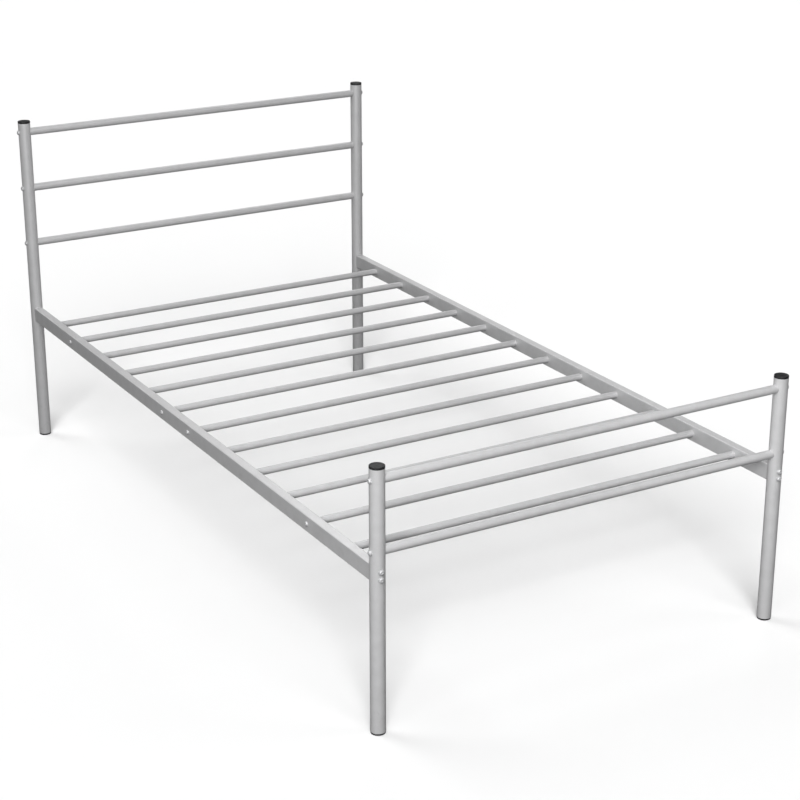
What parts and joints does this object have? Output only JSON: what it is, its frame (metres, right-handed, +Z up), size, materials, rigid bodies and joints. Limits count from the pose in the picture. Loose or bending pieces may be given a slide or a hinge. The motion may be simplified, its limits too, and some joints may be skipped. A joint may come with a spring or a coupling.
{
  "type": "metal bed frame",
  "caption": "Single bed frame of round steel tube with a tall headboard, a low footboard, box-section side rails and tube slats that carry a mattress.",
  "frame": {"origin": "on the floor, under the middle of the bed", "axes": "+X across the bed to the right as seen from the foot end, +Y along the bed from the footboard to the headboard, +Z up"},
  "size_m": [1.066, 1.971, 0.907],
  "materials": {
    "silver_paint": "satin silver-grey powder coat with a fine texture",
    "black_plastic": "black moulded polyethylene, fine matt grain",
    "zinc_fasteners": "bright zinc plate",
    "insert_steel": "plain machined steel"
  },
  "bodies": {
    "root": {"bar_bolt_washers": "zinc_fasteners", "bar_bolts": "zinc_fasteners", "bar_end_plugs": "insert_steel", "foot_cap_left": "black_plastic", "foot_cap_right": "black_plastic", "foot_glide_left": "black_plastic", "foot_glide_right": "black_plastic", "foot_post_left": "silver_paint", "foot_post_right": "silver_paint", "footboard_lower_bar": "silver_paint", "footboard_top_bar": "silver_paint", "head_cap_left": "black_plastic", "head_cap_right": "black_plastic", "head_glide_left": "black_plastic", "head_glide_right": "black_plastic", "head_post_left": "silver_paint", "head_post_right": "silver_paint", "headboard_lower_bar": "silver_paint", "headboard_middle_bar": "silver_paint", "headboard_top_bar": "silver_paint", "post_saddles": "silver_paint", "rail_bolt_washers": "zinc_fasteners", "rail_bolts": "zinc_fasteners", "rail_end_plates": "insert_steel", "rail_weld_nuts": "insert_steel", "side_rail_left": "silver_paint", "side_rail_right": "silver_paint", "slat_01": "silver_paint", "slat_02": "silver_paint", "slat_03": "silver_paint", "slat_04": "silver_paint", "slat_05": "silver_paint", "slat_06": "silver_paint", "slat_07": "silver_paint", "slat_08": "silver_paint", "slat_09": "silver_paint", "slat_10": "silver_paint", "slat_11": "silver_paint", "slat_12": "silver_paint", "slat_bolts": "zinc_fasteners", "slat_end_plugs": "insert_steel"}
  },
  "joints": []
}
